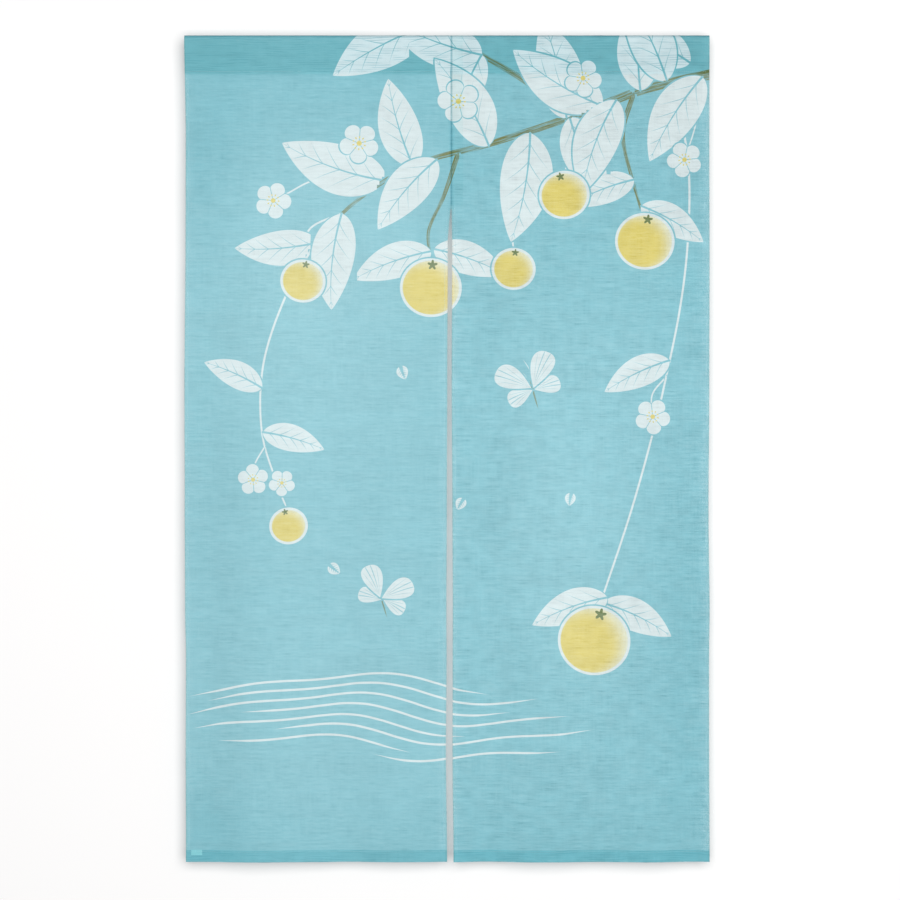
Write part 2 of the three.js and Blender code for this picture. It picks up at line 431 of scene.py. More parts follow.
# The panel's path from the free edge behind the pocket, over the top fold, down the face, round the
# foot and up to the hem's free edge. Columns: flat distance down the cloth (negative behind the
# pocket), level, whether the point hangs with the sheet, its own depth if it does not, and how far
# behind the sheet it lies if it does.
def clothPath():
    radius = (cloth["pocketDepth"] - cloth["thickness"]) / 2
    arcCentre = radius + cloth["thickness"] / 2
    stitch, turned = cloth["pocketDrop"], cloth["pocketDrop"] + cloth["pocketTurn"]
    step, plane = cloth["layerStep"], cloth["sheetPlane"]
    footFold = cloth["drop"] - (step + cloth["thickness"]) / 2
    rows = []

    def add(flat, level, hangs, ownDepth, behind):
        flat, level, hangs, ownDepth, behind = np.broadcast_arrays(flat, level, hangs, ownDepth, behind)
        rows.append(np.stack([flat, level, hangs, ownDepth, behind], -1).astype(float))

    wall = np.linspace(stitch, arcCentre, cloth["pocketRows"])
    share = ease(wall, arcCentre, stitch)
    backStart = arcCentre - radius * math.pi
    tail = np.array([turned, stitch + 0.002])
    add(backStart + arcCentre - tail, tail, 0, plane + step, 0)
    add(backStart + arcCentre - wall, wall, 0, radius + (plane + step - radius) * share, 0)
    turn = np.linspace(0, math.pi, cloth["foldRows"])[1:-1]
    add(backStart + turn * radius, arcCentre - radius * np.sin(turn), 0, radius * np.cos(turn), 0)
    add(wall[::-1], wall[::-1], 0, -radius + (plane + radius) * share[::-1], 0)
    hemTop = footFold - cloth["hemDrop"]
    sheet = np.linspace(turned - 0.002, hemTop, cloth["sheetRows"])
    sheet = np.concatenate([sheet, np.linspace(hemTop, footFold, cloth["hemRows"])[1:]])
    add(sheet, sheet, 1, 0, 0)
    turn = np.linspace(0, math.pi, cloth["footRows"])[1:-1]
    add(footFold + turn * step / 2, footFold + step / 2 * np.sin(turn), 1, 0, step / 2 * (1 - np.cos(turn)))
    back = np.linspace(footFold, hemTop + 0.0004, cloth["hemRows"])
    add(footFold + step * math.pi / 2 + footFold - back, back, 1, 0, step)
    return np.concatenate(rows)


# Places across a panel, as a share of its width plus an inset in metres: close together in the hems
# and beside the seam, even between them.
def acrossStops():
    near = np.array([0.0, 0.0004, 0.001, 0.0018, 0.003, 0.0045, 0.006, 0.0069, 0.0074, 0.0085])
    middle = np.linspace(0.0, 1.0, cloth["columns"])[1:-1]
    share = np.concatenate([np.zeros(len(near)), middle, np.ones(len(near))])
    inset = np.concatenate([near, near[-1] * (1.0 - 2.0 * middle), -near[::-1]])
    return share, inset


# The middle layer of a panel as a grid of points, station across by point along the path.
def clothGrid(panel, path, share, inset):
    level, hangs, ownDepth, behind = path.T[1:]
    left, right = edgeAt(panel["left"], level), edgeAt(panel["right"], level)
    across = left[None] + (right - left)[None] * share[:, None] + inset[:, None]
    down = np.broadcast_to(level, across.shape)
    sheet = depthAt(panel, across, down)
    # the pocket's walls wave a little and carry the seam's roll
    seamRoll = depthAt(panel, across, np.full_like(down, pocketWave["seamLevel"])) - cloth["sheetPlane"]
    facing = np.where(ownDepth < 0, 1.0, -1.0)
    wave = pocketWave["height"] * np.sin(across * pocketWave["across"] + level[None] * pocketWave["down"])
    wave = wave * np.sin(across * pocketWave["swell"] + 1.0)
    pocket = ownDepth[None] + (seamRoll * facing + wave) * ease(down, 0.002, 0.02)
    y = np.where(hangs[None] > 0, sheet + behind[None], pocket)
    return np.stack([across, y, -down], -1), across - left[None], right[None] - across


# How pale or dark the dye is, with the painted sheen and painted shade: a bell for each spot, summed.
def dyeSheenShadeAt(panel, across, down):
    dyeSheenShade = np.full_like(across, panel["dyeSheenShade"])
    for place, level, wide, tall, amount in dyeSheenShadeSpots:
        dyeSheenShade = dyeSheenShade + amount * np.exp(-((across - place) / wide) ** 2 - ((down - level) / tall) ** 2)
    return dyeSheenShade


# Unit normals of a grid of points, on the side of the cloth's face.
def gridNormals(points):
    alongAcross, alongPath = np.gradient(points, axis=0), np.gradient(points, axis=1)
    normal = np.cross(alongPath, alongAcross)
    return normal / np.linalg.norm(normal, axis=-1, keepdims=True)


# Closed sheet through a grid of points: a face half the thickness out, a reverse half the thickness
# (plus extra) in, and a rounded rim of one more line of points between them.
def closedSheet(points, thickness, extra=0.0):
    count, length = points.shape[:2]
    normal = gridNormals(points)
    face = points + normal * thickness / 2
    reverse = points - normal * (thickness / 2 + np.broadcast_to(extra, (count, length))[..., None])
    index = np.arange(count * length).reshape(count, length)
    ring = np.concatenate([index[:-1, 0], index[-1, :-1], index[:0:-1, -1], index[0, :0:-1]])
    outward = np.zeros_like(points)
    outward[0] += points[0] - points[1]
    outward[-1] += points[-1] - points[-2]
    outward[:, 0] += points[:, 0] - points[:, 1]
    outward[:, -1] += points[:, -1] - points[:, -2]
    rimOut = outward.reshape(-1, 3)[ring]
    rimOut /= np.linalg.norm(rimOut, axis=-1, keepdims=True)
    rim = (face.reshape(-1, 3)[ring] + reverse.reshape(-1, 3)[ring]) / 2 + rimOut * thickness * 0.4
    vertices = np.concatenate([face.reshape(-1, 3), reverse.reshape(-1, 3), rim])
    a, b, c, d = index[:-1, :-1], index[1:, :-1], index[1:, 1:], index[:-1, 1:]
    faceQuads = np.stack([a, d, c, b], -1).reshape(-1, 4)
    reverseQuads = np.stack([a, b, c, d], -1).reshape(-1, 4) + count * length
    rimIndex = 2 * count * length + np.arange(len(ring))
    ringNext, rimNext = np.roll(ring, -1), np.roll(rimIndex, -1)
    rimFace = np.stack([ring, ringNext, rimNext, rimIndex], -1)
    rimReverse = np.stack([rimIndex, rimNext, ringNext + count * length, ring + count * length], -1)
    quads = np.concatenate([faceQuads, reverseQuads, rimFace, rimReverse])
    source = np.concatenate([np.arange(count * length)] * 2 + [ring])
    return {"vertices": vertices, "quads": quads, "source": source}


# Several closed sheets as one, with their per-point values.
def joinSheets(sheets):
    shift = np.cumsum([0] + [len(sheet["vertices"]) for sheet in sheets[:-1]])
    joined = {key: np.concatenate([sheet[key] for sheet in sheets]) for key in sheets[0] if key != "quads"}
    joined["quads"] = np.concatenate([sheet["quads"] + first for sheet, first in zip(sheets, shift)])
    return joined


# A mesh object from arrays: UV maps and marks by point, print layers by face corner.
def meshObject(name, vertices, quads, maps=None, marks=None, corners=None, material=None):
    mesh = bpy.data.meshes.new(name)
    mesh.from_pydata(vertices.tolist(), [], quads.tolist())
    corner = quads.ravel()
    for mapName, values in (maps or {}).items():
        layer = mesh.uv_layers.new(name=mapName)
        layer.data.foreach_set("uv", values[corner].astype(np.float32).ravel())
    for markName, values in (marks or {}).items():
        mark = mesh.attributes.new(markName, "FLOAT", "POINT")
        mark.data.foreach_set("value", values.astype(np.float32))
    for layerName, values in (corners or {}).items():
        layer = mesh.attributes.new(layerName, "FLOAT_VECTOR", "CORNER")
        layer.data.foreach_set("vector", values.astype(np.float32).ravel())
    mesh.shade_smooth()
    if material:
        mesh.materials.append(material)
    piece = bpy.data.objects.new(name, mesh)
    bpy.context.scene.collection.objects.link(piece)
    return piece


# All places are (across, down) in metres on the flat cloth; angles are in degrees, 0 to the right and
# 90 down. Citrus branch with fruit and blossom over flowing water, one picture over both panels.

# base across, base down, angle, length, width (negative for a butterfly's wing), bend
frontLeaves = [
    (0.398, 0.082, 243, 0.175, 1.0, 0.16), (0.28, 0.128, 212, 0.19, 1.0, -0.18),
    (0.306, 0.118, 110, 0.18, 1.0, 0.2), (0.15, 0.178, 100, 0.2, 1.05, -0.16),
    (0.075, 0.2, 238, 0.185, 1.0, 0.18), (-0.02, 0.226, 130, 0.165, 1.0, 0.18),
    (-0.112, 0.264, 200, 0.2, 1.0, -0.2), (-0.192, 0.324, 96, 0.175, 1.0, 0.18),
    (-0.236, 0.376, 176, 0.15, 0.95, -0.16), (0.462, 0.076, 122, 0.18, 1.0, 0.16),
    (-0.03, 0.392, 160, 0.15, 0.95, 0.16), (0.352, 0.31, 30, 0.13, 0.95, -0.16),
    (0.29, 1.02, 160, 0.145, 0.95, 0.18), (-0.336, 0.64, 204, 0.115, 0.95, 0.14),
    (0.152, 0.64, 204, 0.07, -1.0, 0.1), (0.156, 0.64, 292, 0.07, -1.0, -0.1),
    (-0.122, 1.02, 248, 0.062, -1.0, 0.1), (-0.119, 1.021, 336, 0.062, -1.0, -0.1),
]
backLeaves = [
    (0.35, 0.1, 272, 0.17, 1.0, -0.16), (0.216, 0.15, 256, 0.185, 1.0, 0.16),
    (0.062, 0.036, 200, 0.18, 1.0, -0.14), (0.062, 0.036, 112, 0.14, 1.0, 0.14),
    (-0.04, -0.016, 152, 0.19, 1.0, 0.14), (-0.062, 0.238, 254, 0.165, 1.0, -0.14),
    (0.338, 0.262, 158, 0.13, 0.95, 0.16), (-0.024, 0.388, 20, 0.14, 0.95, -0.16),
    (0.282, 1.03, 26, 0.138, 0.95, -0.18), (0.402, 0.59, 154, 0.13, 0.95, 0.16),
    (-0.334, 0.72, 16, 0.115, 0.95, -0.14), (0.222, 0.15, 66, 0.16, 1.0, 0.14),
    (0.154, 0.644, 152, 0.048, -1.1, 0.1), (0.158, 0.643, 344, 0.048, -1.1, -0.1),
    (-0.12, 1.024, 196, 0.043, -1.1, 0.1), (-0.116, 1.024, 28, 0.043, -1.1, -0.1),
    (-0.085, 0.6, 70, 0.026, 1.8, 0.1), (0.03, 0.84, 120, 0.024, 1.8, 0.1),
    (-0.215, 0.96, 40, 0.026, 1.8, 0.1), (0.225, 0.83, 100, 0.024, 1.8, 0.1),
    (0.44, 0.05, 206, 0.15, 1.0, 0.14),
]
# centre across, centre down, radius, turn
fruits = [
    (0.358, 0.374, 0.054, 8), (0.212, 0.29, 0.046, -12), (-0.03, 0.458, 0.056, 4),
    (-0.262, 0.446, 0.041, 10),
    (0.266, 1.098, 0.066, 14), (-0.288, 0.89, 0.035, -14), (0.12, 0.424, 0.04, 6),
]
blossoms = [
    (0.246, 0.078, 0.034, 10), (0.02, 0.12, 0.038, 40), (-0.16, 0.196, 0.036, 22), (-0.316, 0.3, 0.033, 5),
    (0.43, 0.226, 0.032, 30), (0.372, 0.692, 0.032, 12), (-0.352, 0.806, 0.028, 50),
    (-0.3, 0.812, 0.024, 20),
]
# points, half width at the start and the end
branches = [
    ([(0.5, 0.066), (0.36, 0.098), (0.22, 0.15), (0.08, 0.196), (-0.06, 0.236), (-0.17, 0.305),
      (-0.245, 0.385)], 0.0095, 0.0024),
    ([(0.215, 0.152), (0.15, 0.09), (0.06, 0.035), (-0.02, -0.01), (-0.09, -0.06)], 0.0062, 0.003),
    ([(0.338, 0.104), (0.318, 0.18), (0.335, 0.26), (0.354, 0.326)], 0.0048, 0.0022),
    ([(0.02, 0.213), (-0.006, 0.29), (-0.034, 0.355), (-0.03, 0.408)], 0.0046, 0.0022),
    ([(0.15, 0.628), (0.156, 0.648), (0.164, 0.676)], 0.0022, 0.001),
    ([(-0.126, 1.008), (-0.118, 1.028), (-0.11, 1.054)], 0.002, 0.001),
]
stems = [
    ([(0.412, 0.088), (0.438, 0.25), (0.43, 0.44), (0.392, 0.64), (0.34, 0.84), (0.288, 1.0),
      (0.274, 1.036)], 0.002, 0.0018),
    ([(-0.245, 0.385), (-0.296, 0.48), (-0.334, 0.6), (-0.336, 0.72), (-0.308, 0.815), (-0.292, 0.856)],
     0.002, 0.0016),
    ([(0.15, 0.18), (0.11, 0.29), (0.12, 0.388)], 0.0018, 0.0016),
    ([(0.24, 0.146), (0.226, 0.2), (0.213, 0.25)], 0.0018, 0.0016),
    ([(-0.19, 0.322), (-0.25, 0.352), (-0.262, 0.408)], 0.0018, 0.0016),
    ([(-0.15, 0.29), (-0.23, 0.262), (-0.3, 0.292)], 0.0018, 0.0014),
    ([(-0.33, 0.745), (-0.348, 0.776), (-0.352, 0.8)], 0.0015, 0.0012),
    ([(0.398, 0.618), (0.372, 0.65), (0.37, 0.684)], 0.0016, 0.0012),
    ([(0.448, 0.08), (0.452, 0.15), (0.434, 0.216)], 0.0016, 0.0012),
    ([(0.148, 0.63), (0.136, 0.612), (0.118, 0.604)], 0.0007, 0.0006),
    ([(0.151, 0.628), (0.148, 0.606), (0.138, 0.59)], 0.0007, 0.0006),
    ([(-0.127, 1.008), (-0.138, 0.99), (-0.152, 0.984)], 0.0007, 0.0006),
    ([(-0.125, 1.006), (-0.126, 0.986), (-0.134, 0.972)], 0.0007, 0.0006),
]
# flowing water: first and last place across, level, swing, phase
waters = [
    (-0.452, 0.06, 1.176, 0.017, 0.2), (-0.42, 0.15, 1.194, 0.018, 0.4),
    (-0.458, 0.1, 1.213, 0.019, 0.6), (-0.36, 0.205, 1.232, 0.019, 0.8),
    (-0.446, 0.02, 1.251, 0.018, 1.0), (-0.3, 0.25, 1.267, 0.017, 1.2),
    (-0.4, -0.08, 1.285, 0.015, 1.4), (-0.12, 0.19, 1.3, 0.013, 1.6),
]
farAway = 9.0


# A smooth line through the given points (Catmull-Rom), sampled evenly: points, travel, unit tangent
# and curvature.
def smoothLine(points, count):
    points = np.array(points, float)
    padded = np.concatenate([[2 * points[0] - points[1]], points, [2 * points[-1] - points[-2]]])
    place = np.linspace(0, len(points) - 1 - 1e-9, count)
    first = place.astype(int)
    t = (place - first)[:, None]
    p0, p1, p2, p3 = (padded[first + k] for k in range(4))
    curve = 0.5 * (2 * p1 + (p2 - p0) * t + (2 * p0 - 5 * p1 + 4 * p2 - p3) * t ** 2
                   + (3 * p1 - p0 - 3 * p2 + p3) * t ** 3)
    travel = np.concatenate([[0], np.cumsum(np.linalg.norm(np.diff(curve, axis=0), axis=1))])
    tangent = np.gradient(curve, travel, axis=0)
    tangent /= np.linalg.norm(tangent, axis=1, keepdims=True)
    bend = np.gradient(np.unwrap(np.arctan2(tangent[:, 1], tangent[:, 0])), travel)
    return curve, travel, tangent, bend


# Strokes as a layer: for each face the nearest stroke, and at its corners the distance from that
# line (its curvature included) and the half width there, which narrows to nothing at both ends.
def strokeLayer(centres, corners, strokes):
    table = []
    for points, startWidth, endWidth, taper in strokes:
        reach = np.linalg.norm(np.diff(np.array(points), axis=0), axis=1).sum()
        curve, travel, tangent, bend = smoothLine(points, 4 + int(reach / 0.004))
        table.append(np.column_stack([curve, tangent, travel, bend, np.full(len(curve), travel[-1]),
                                      np.full(len(curve), startWidth), np.full(len(curve), endWidth),
                                      np.full(len(curve), taper)]))
    table = np.concatenate(table)
    spots = table[:, :2]
    nearest = np.zeros(len(centres), int)
    for start in range(0, len(centres), 8000):
        apart = (spots ** 2).sum(1) - 2.0 * centres[start:start + 8000] @ spots.T
        nearest[start:start + 8000] = np.argmin(apart, axis=1)
    x, y, tx, ty, travel, bend, full, startWidth, endWidth, taper = table[nearest].T[:, :, None]
    dx, dy = corners[..., 0] - x, corners[..., 1] - y
    along = dx * tx + dy * ty
    distance = dy * tx - dx * ty - bend * along ** 2 / 2
    place = travel + along
    width = startWidth + (endWidth - startWidth) * np.clip(place / full, 0, 1)
    width = width * np.clip(np.minimum(place, full - place) / taper + 0.25, -1.0, 1.0)
    near = np.abs(distance) < 0.06
    return np.stack([place, np.where(near, distance, farAway), np.where(near, width, 0.0)], -1)


# Motifs with a centre as a layer: for each face the motif it lies deepest in, and at its corners the
# place in that motif's own turned frame plus its size.
def roundLayer(centres, corners, motifs):
    motifs = np.array(motifs)
    gap = np.linalg.norm(centres[:, None] - motifs[None, :, :2], axis=-1) - motifs[None, :, 2]
    x, y, radius, turn = motifs[np.argmin(gap, axis=1)].T[:, :, None]
    turn = np.radians(turn)
    dx, dy = corners[..., 0] - x, y - corners[..., 1]
    return np.stack([dx * np.cos(turn) - dy * np.sin(turn), dx * np.sin(turn) + dy * np.cos(turn),
                     np.broadcast_to(radius, dx.shape)], -1)


# Leaves as a layer: along the leaf from 0 at its base to 1 at its tip, across it in lengths after
# its parabola bend is taken out, and its length, negative for a wing.
def leafLayer(centres, corners, leaves):
    x, y, angle, length, width, bend = np.array(leaves).T

    def local(points, x, y, angle, length, width, bend):
        dx, dy = (points[..., 0] - x) / length, (points[..., 1] - y) / length
        along = dx * np.cos(angle) + dy * np.sin(angle)
        across = (dy * np.cos(angle) - dx * np.sin(angle) - bend * (along - along ** 2)) / width
        return along, across

    angle = np.radians(angle)
    along, across = local(centres[:, None], x, y, angle, length, width, bend)
    outside = (np.hypot(along - 0.5, across * 1.6) - 0.5) * length
    nearest = np.argmin(outside, 1)
    chosen = (value[nearest, None] for value in (x, y, angle, length, width, bend))
    x, y, angle, length, width, bend = chosen
    along, across = local(corners, x, y, angle, length, np.abs(width), bend)
    return np.stack([along, across, np.broadcast_to(length * np.sign(width), along.shape)], -1)


# Every layer of the print at every corner of a mesh, from the flat places of its points.
def printLayers(flatPlaces, quads):
    places = np.stack([flatPlaces[:, 0], -flatPlaces[:, 1]], -1)
    corners = places[quads]
    centres = corners.mean(1)
    stroked = [(points, start, end, 0.01) for points, start, end in branches]
    lines = [(points, start, end, 0.006) for points, start, end in stems]
    for first, last, level, swing, phase in waters:
        across = np.linspace(first, last, 14)
        down = level + swing * np.sin(across * 10.5 + phase) + 0.006 * np.sin(across * 23.0 + phase * 2.0)
        lines.append((list(zip(across, down)), 0.0021, 0.0019, 0.06))
    layers = {
        "frontLeaf": leafLayer(centres, corners, frontLeaves),
        "backLeaf": leafLayer(centres, corners, backLeaves),
        "fruit": roundLayer(centres, corners, fruits),
        "blossom": roundLayer(centres, corners, blossoms),
        "branch": strokeLayer(centres, corners, stroked),
        "line": strokeLayer(centres, corners, lines),
    }
    return {key: value.reshape(-1, 3) for key, value in layers.items()}


weave = {
    "threadsPerMetre": 1050.0,
    # streaks a metre across and down the cloth, and their detail
    "weftSlub": (19.0, 520.0, 1.0),
    "fineSlub": (70.0, 1150.0, 0.0),
    "warpSlub": (420.0, 17.0, 1.0),
    "uneven": (6.0, 8.0, 1.0),
    "squares": (42.0, 48.0, 0.0),
    "bars": (3.0, 95.0, 1.0),
    # how far each changes the tone
    "slubTone": 0.115,
    "unevenTone": 0.02,
    "squareTone": 0.03,
    "barTone": 0.02,
    "fineShare": 0.8,  # of the weft's slubs
    "warpShare": 0.45,
    "panelsMeet": (-0.004, 0.01),
    "slubLeft": 0.82,  # the left panel's share of the right one's slubs
    "squaresLeft": 0.4,  # and of its squares
}


# Plain weave: sine threads each way, alternately on top, with long slubs in the weft, weaker ones
# in the warp and a broad unevenness. Tone is around 1, Height and Gap 0 to 1, Slub around 0.
def makeWeaveGroup():
    tree, place = newGroup("plainWeave", "Cloth")
    across, down, _ = parts(place)
    names = ("weftSlub", "fineSlub", "warpSlub", "uneven", "squares", "bars")
    weftSlub, fineSlub, warpSlub, uneven, squares, bars = (streaks(place, *weave[name]) for name in names)
    halfTurns = weave["threadsPerMetre"] * math.pi
    over, under = sine(across * halfTurns), sine(down * halfTurns)
    cross = between(over * under, -1.0, 1.0, 0.35, 1.0)
    thread = larger(abs(over) * cross, abs(under))
    slub = swing(weftSlub, 1.0) + swing(fineSlub, weave["fineShare"]) + swing(warpSlub, weave["warpShare"])
    slub = slub * between(across, *weave["panelsMeet"], weave["slubLeft"], 1.0)
    squareShare = between(across, *weave["panelsMeet"], weave["squaresLeft"], 1.0)
    tone = 1.0 - slub * weave["slubTone"] + swing(uneven, weave["unevenTone"], 0.2)
    return closeGroup(tree, {
        "Tone": tone + swing(bars, weave["barTone"]) + swing(squares, weave["squareTone"]) * squareShare,
        "Height": thread * 0.55 + weftSlub * 0.9,
        "Gap": fall(thread, 0.25, 0.65),
        "Slub": slub,
    })


leaf = {
    "width": 0.225,  # half, in lengths
    "wingWidth": 0.3,
    "powers": (0.62, 0.92),  # of the outline towards the base and towards the tip
    "wingPowers": (1.05, 0.42),
    "gap": 0.0028,  # dyed line round it
    "soft": 0.0007,
    "midrib": 0.0019,
    "vein": 0.0011,
    "veinCount": 6.0,
    "veinLean": 0.85,
}


# Leaf outline: half width = k (along)^a (1 - along)^b, k set so its widest is the leaf's width, with
# other powers a and b in a butterfly's wing. Side veins lie where along less a share of the distance
# across is a whole number of steps, and fan out from the base in a wing.
def makeLeafGroup():
    tree, place = newGroup("citrusLeaf", "Leaf")
    along, across, signedLength = parts(place)
    length = abs(signedLength)
    wing = calc("LESS_THAN", signedLength, 0.0)
    side = abs(across)
    inside = smaller(larger(along, 0.0), 1.0)
    base, tip = (between(wing, 0, 1, *pair) for pair in zip(leaf["powers"], leaf["wingPowers"]))
    shapes = ((leaf["width"], leaf["powers"]), (leaf["wingWidth"], leaf["wingPowers"]))
    scales = [width / ((a / (a + b)) ** a * (b / (a + b)) ** b) for width, (a, b) in shapes]
    outline = inside ** base * (1.0 - inside) ** tip * between(wing, 0, 1, *scales)
    depth = (outline - side - abs(along - inside)) * length
    body = rise(depth, -leaf["soft"] / 2, leaf["soft"] / 2)
    rib = fall(side * length - (1.08 - inside) * leaf["midrib"], -0.0004, 0.0004) * (1.0 - wing)
    curved = inside - side ** 0.8 * leaf["veinLean"]
    fan = side / larger(inside, 0.1)
    step = mixValues(wing, curved, fan) * leaf["veinCount"]
    fromVein = abs(calc("FRACT", step) - 0.5) / (leaf["veinCount"] * 1.3) * length
    veinWidth = between(side / larger(outline, 0.001), 0.0, 0.86, 1.0, 0.0) * leaf["vein"]
    vein = fall(fromVein - veinWidth, -0.0004, 0.0003) * rise(curved, 0.04, 0.08)
    return closeGroup(tree, {
        "Around": rise(depth, -leaf["gap"] - leaf["soft"], -leaf["gap"]),
        "Body": body,
        "Vein": larger(rib, vein * 0.85) * body,
    })


fruit = {
    "gap": 0.0026,
    "rim": 0.0048,  # undyed
    "soft": 0.0007,
    "flatten": 1.05,
    "light": (0.5, 0.42),  # side on which the dye pales
    "poreScale": 260.0,
    "calyxRise": 0.74,  # in radii
    "calyx": 0.125,
    "calyxPoint": 0.045,
}


# Fruit: an almost round disc with an undyed rim, a dye that pales towards the upper right, fine
# pores, and a small calyx near its top with radius = R (calyx + point x cos 5 turn).
def makeFruitGroup():
    tree, place = newGroup("citrusFruit", "Fruit")
    x, y, radius = parts(place)
    tall = y * fruit["flatten"]
    distance = root(x * x + tall * tall)
    depth = radius - distance
    lean = (x * fruit["light"][0] + y * fruit["light"][1]) / radius
    speck = Field(addNode(tree, "ShaderNodeTexVoronoi", {"voronoi_dimensions": "2D"},
                          {"Vector": place, "Scale": fruit["poreScale"]}).outputs["Distance"])
    fromTopY = y - radius * fruit["calyxRise"]
    turn = calc("ARCTAN2", x, fromTopY)
    reach = (cosine(turn * 5.0) * fruit["calyxPoint"] + fruit["calyx"]) * radius
    return closeGroup(tree, {
        "Around": rise(depth, -fruit["gap"] - fruit["soft"], -fruit["gap"]),
        "Rim": rise(depth, -fruit["soft"] / 2, fruit["soft"] / 2),
        "Body": rise(depth, fruit["rim"] - 0.0012, fruit["rim"] + 0.0012),
        "Pale": rise(lean * 0.9 + (distance / radius) ** 3.0, 0.15, 1.35),
        "Pore": fall(speck, 0.1, 0.26),
        "Calyx": rise(reach - root(x * x + fromTopY * fromTopY), -0.0004, 0.0005),
    })


blossom = {"gap": 0.0024, "soft": 0.0006, "petals": 5.0, "notch": 0.38, "bluntness": 0.55, "stamens": 0.3}


# Blossom: radius = R (1 - notch + notch |cos of half the petals' turn|^bluntness), thin lines between
# the petals, a round centre and a ring of stamen dots.
def makeBlossomGroup():
    tree, place = newGroup("blossom", "Blossom")
    x, y, radius = parts(place)
    distance = root(x * x + y * y)
    turn = calc("ARCTAN2", y, x)
    wave = abs(cosine(turn * (blossom["petals"] / 2)))
    outline = wave ** blossom["bluntness"] * blossom["notch"] + (1.0 - blossom["notch"])
    depth = outline * radius - distance
    petal = rise(depth, -blossom["soft"] / 2, blossom["soft"] / 2)
    line = fall(wave * (distance / (blossom["petals"] / 2)), 0.0004, 0.0009)
    share = distance / radius
    dots = cosine(turn * (blossom["petals"] * 2))
    dot = between(abs(share - blossom["stamens"]), 0.0, 0.07, 1.0, 0.0) - between(dots, 0.2, 1.0, 1.0, 0.0)
    return closeGroup(tree, {
        "Around": rise(depth, -blossom["gap"] - blossom["soft"], -blossom["gap"]),
        "Petal": petal,
        "Line": line * petal,
        "Centre": larger(fall(share, 0.11, 0.15), rise(dot, 0.0, 0.3)),
    })


# A drawn line: 1 within its half width. Grain runs along it like a dry brush.
def makeStrokeGroup():
    tree, place = newGroup("drawnLine", "Stroke")
    _, distance, halfWidth = parts(place)
    return closeGroup(tree, {"Line": rise(halfWidth - abs(distance), -0.0003, 0.0004),
                             "Grain": streaks(place, 22.0, 420.0, 2.0)})


hem = {"heading": 0.065, "foot": 1.4785, "selvedge": 0.0024, "seamLine": 0.0016, "seamBand": 0.021}


# Bands of the sewn cloth: the heading and the foot hem, the selvedge at each side edge, the strip
# of turned cloth right of the seam, the seam's own groove and the pressed top fold. All but the
# selvedge carry painted shade. Edge holds the distances from the outer edge and from the seam
# and slit.
def makeHemGroup():
    tree, place, edge = newGroup("hemBands", "Cloth", "Edge")
    across, up, _ = parts(place)
    down = up * -1.0
    outer, slit, _ = parts(edge)

    def within(distance, limit, soft=0.001):
        return fall(distance, limit - soft, limit + soft)

    sewn = within(down, cloth["seamDrop"], 0.002)
    right = calc("GREATER_THAN", across, edges["slitLeft"][0])
    return closeGroup(tree, {
        "Heading": fall(down, hem["heading"], hem["heading"] + 0.011),
        "Foot": rise(down, hem["foot"] - 0.0012, hem["foot"] + 0.0006),
        "Selvedge": larger(within(outer, hem["selvedge"]), within(slit, hem["selvedge"]) * (1.0 - sewn)),
        "Seam": within(slit, hem["seamLine"], 0.0012) * sewn,
        "Strip": within(slit, hem["seamBand"]) * right * sewn,
        "FoldShade": fall(abs(down + 0.0006), 0.002, 0.01),
    })


label = {"across": -0.455, "down": 1.478, "width": 0.02, "drop": 0.01, "thickness": 0.0004,
         "behind": 0.0014,  # from the sheet's middle layer
         "curl": 0.0002, "colour": (0.78, 0.8, 0.79, 1.0), "roughness": 0.7, "showsThrough": 0.85}


# The label sewn behind the hem, as it shows through: a paler patch with a shadow under it.
def makePatchGroup():
    tree, place = newGroup("labelThrough", "Cloth")
    across, up, _ = parts(place)
    down = up * -1.0
    half, top, bottom = label["width"] / 2, label["down"], label["down"] + label["drop"]
    column = fall(abs(across - label["across"]), half - 0.0006, half + 0.0006)
    row = rise(down, top - 0.0006, top + 0.0006) * fall(down, bottom - 0.0008, bottom + 0.0004)
    line = rise(down, bottom, bottom + 0.0008) * fall(down, bottom + 0.0014, bottom + 0.0024)
    return closeGroup(tree, {"Patch": column * row, "Under": column * line * 0.6})


